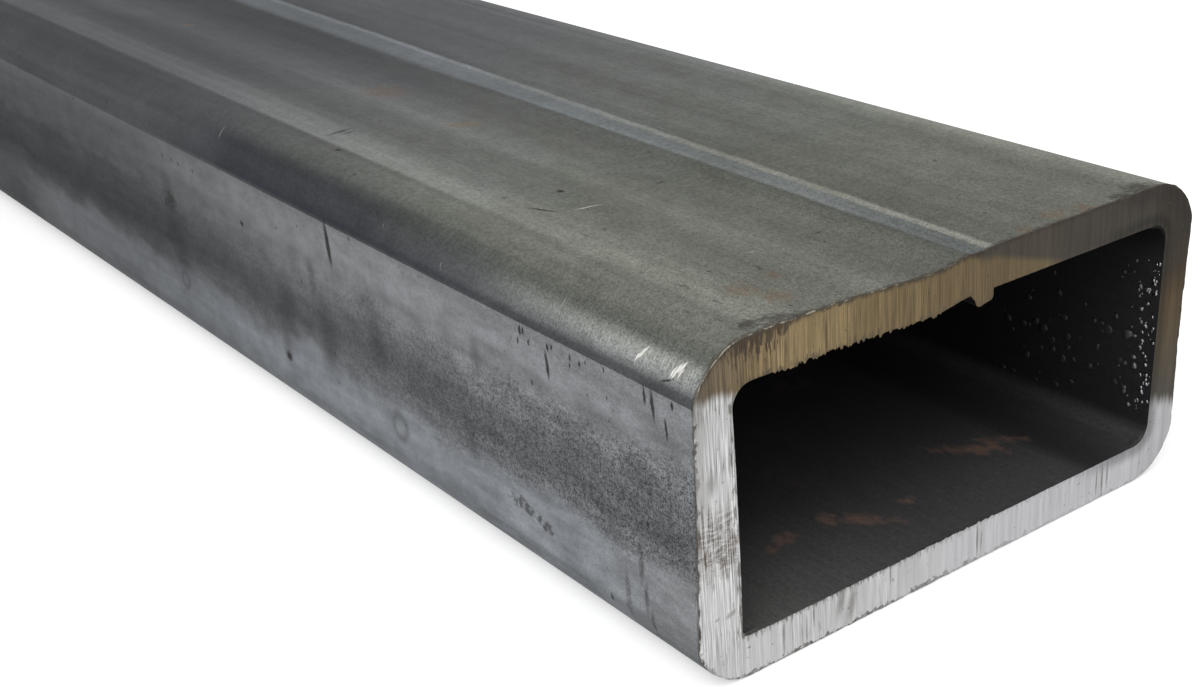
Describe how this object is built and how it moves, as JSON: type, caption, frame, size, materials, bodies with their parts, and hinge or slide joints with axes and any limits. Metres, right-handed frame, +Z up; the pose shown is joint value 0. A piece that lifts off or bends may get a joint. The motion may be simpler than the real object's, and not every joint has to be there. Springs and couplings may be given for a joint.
{
  "type": "rectangular steel tube",
  "caption": "Welded rectangular hollow steel section, sawn square to length, with rounded corners, a planed weld line on top and its bead inside.",
  "frame": {"origin": "middle of the wide face that the tube lies on", "axes": "+Y along the length, away from the end that the picture shows; +Z up, across the narrow sides, to the face with the weld; X across the wide faces"},
  "size_m": [0.1, 1, 0.05],
  "materials": {
    "mill_steel": "bare mill finish: satin grey with drawn streaks, darker corners and sawn ends"
  },
  "bodies": {
    "root": {"tube": "mill_steel"}
  },
  "joints": []
}
